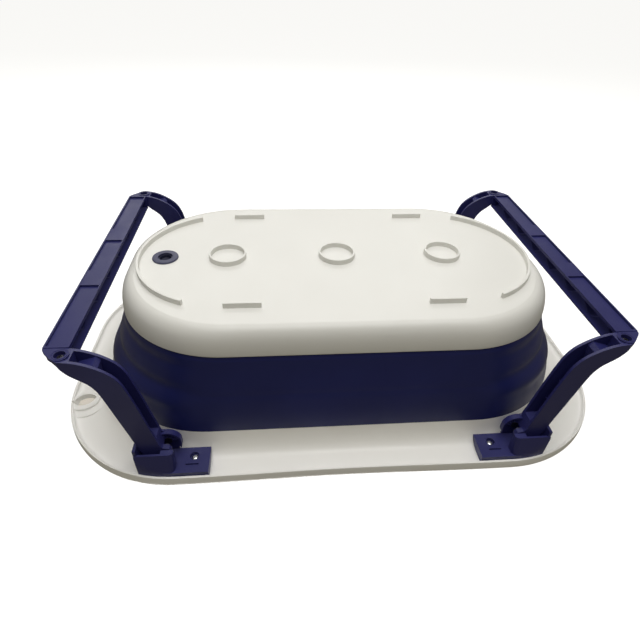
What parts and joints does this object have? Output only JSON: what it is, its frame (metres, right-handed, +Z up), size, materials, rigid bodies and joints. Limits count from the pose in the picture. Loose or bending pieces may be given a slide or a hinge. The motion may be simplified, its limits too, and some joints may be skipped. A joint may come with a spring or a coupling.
{
  "type": "folding baby bathtub",
  "caption": "Folding baby bathtub: rigid rim and base joined by a soft collapsible wall, on fold-in leg frames, with a drain plug.",
  "frame": {"origin": "middle of the floor plane that the feet and the leg crossbars stand on", "axes": "+X along the tub's length, away from the drain; +Z up, the open side"},
  "size_m": [0.812, 0.49, 0.208],
  "materials": {
    "shell": "satin warm white polypropylene",
    "soft_wall": "semi-matt navy thermoplastic rubber",
    "drain": "matt navy rubber",
    "frame": "satin navy moulded plastic",
    "steel": "bright plated"
  },
  "bodies": {
    "rim": {"rim_shell": "shell", "tub_wall": "soft_wall", "bracket_left_front": "frame", "bracket_left_back": "frame", "bracket_right_front": "frame", "bracket_right_back": "frame", "bracket_screws": "steel", "pins_left_front": "steel", "pins_left_back": "steel", "pins_right_front": "steel", "pins_right_back": "steel"},
    "base": {"base_shell": "shell", "drain_seat": "drain"},
    "plug": {"drain_plug": "drain"},
    "leg_left": {"arm_left_front": "frame", "arm_left_back": "frame", "crossbar_left": "frame", "leg_screws_left": "steel"},
    "leg_right": {"arm_right_front": "frame", "arm_right_back": "frame", "crossbar_right": "frame", "leg_screws_right": "steel"}
  },
  "joints": [
    {"name": "tub_collapse", "type": "slide", "parent": "rim", "child": "base", "axis": [0, 0, 1], "range_m": [0, 0.145], "deforming": ["tub_wall"]},
    {"name": "plug_pull", "type": "slide", "parent": "base", "child": "plug", "axis": [0, 0, 1], "range_m": [0, 0.03]},
    {"name": "leg_left_fold", "type": "hinge", "parent": "rim", "child": "leg_left", "pos_m": [-0.237, 0, 0.163], "axis": [0, -1, 0], "range_deg": [0, 105]},
    {"name": "leg_right_fold", "type": "hinge", "parent": "rim", "child": "leg_right", "pos_m": [0.237, 0, 0.163], "axis": [0, 1, 0], "range_deg": [0, 105]}
  ],
  "couplings": [
    {"joint": "leg_left_fold", "follows": "tub_collapse", "rad_per_m": 12.63},
    {"joint": "leg_right_fold", "follows": "tub_collapse", "rad_per_m": 12.63}
  ]
}
